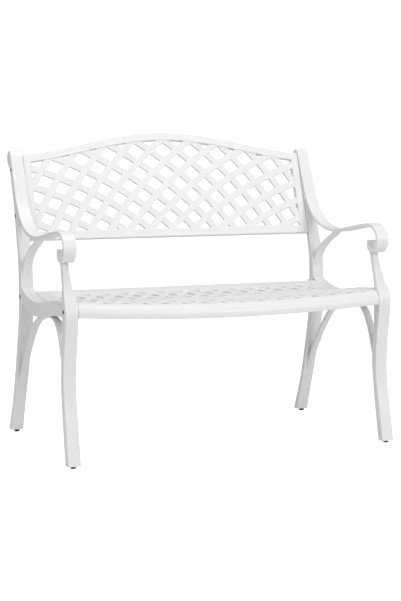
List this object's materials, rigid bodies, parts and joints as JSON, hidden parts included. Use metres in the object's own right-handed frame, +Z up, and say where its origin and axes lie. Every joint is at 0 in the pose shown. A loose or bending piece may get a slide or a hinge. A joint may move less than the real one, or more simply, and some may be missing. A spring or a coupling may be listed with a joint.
{
  "type": "garden bench",
  "caption": "Cast metal garden bench: scrolled arms, splayed curved legs, an arched diagonal-lattice back, a pierced contoured seat and screw-in levelling feet.",
  "frame": {"origin": "on the floor, under the middle of the bench's length and depth", "axes": "+X runs along the bench to the right as seen from the front, -Y is the front, +Z is up"},
  "size_m": [1, 0.6231, 0.91],
  "materials": {
    "powder_coat": "satin white powder coat",
    "black_screw": "black oxide",
    "zinc": "zinc plated",
    "black_nylon": "matt"
  },
  "bodies": {
    "frame": {"end_frame_left": "powder_coat", "end_frame_right": "powder_coat", "backrest_panel": "powder_coat", "seat_panel": "powder_coat", "back_bolts": "black_screw", "back_lock_washers": "zinc", "back_flat_washers": "zinc", "seat_bolts": "black_screw", "seat_lock_washers": "zinc", "seat_flat_washers": "zinc", "seat_inner_washers": "zinc", "seat_nuts": "zinc", "leg_inserts": "zinc"},
    "front_left_foot": {"front_left_foot_pad": "black_nylon", "front_left_foot_stud": "zinc"},
    "front_right_foot": {"front_right_foot_pad": "black_nylon", "front_right_foot_stud": "zinc"},
    "rear_left_foot": {"rear_left_foot_pad": "black_nylon", "rear_left_foot_stud": "zinc"},
    "rear_right_foot": {"rear_right_foot_pad": "black_nylon", "rear_right_foot_stud": "zinc"}
  },
  "joints": [
    {"name": "front_left_foot_height", "type": "slide", "parent": "frame", "child": "front_left_foot", "axis": [0, 0, -1], "range_m": [0, 0.008]},
    {"name": "front_right_foot_height", "type": "slide", "parent": "frame", "child": "front_right_foot", "axis": [0, 0, -1], "range_m": [0, 0.008]},
    {"name": "rear_left_foot_height", "type": "slide", "parent": "frame", "child": "rear_left_foot", "axis": [0, 0, -1], "range_m": [0, 0.008]},
    {"name": "rear_right_foot_height", "type": "slide", "parent": "frame", "child": "rear_right_foot", "axis": [0, 0, -1], "range_m": [0, 0.008]}
  ]
}
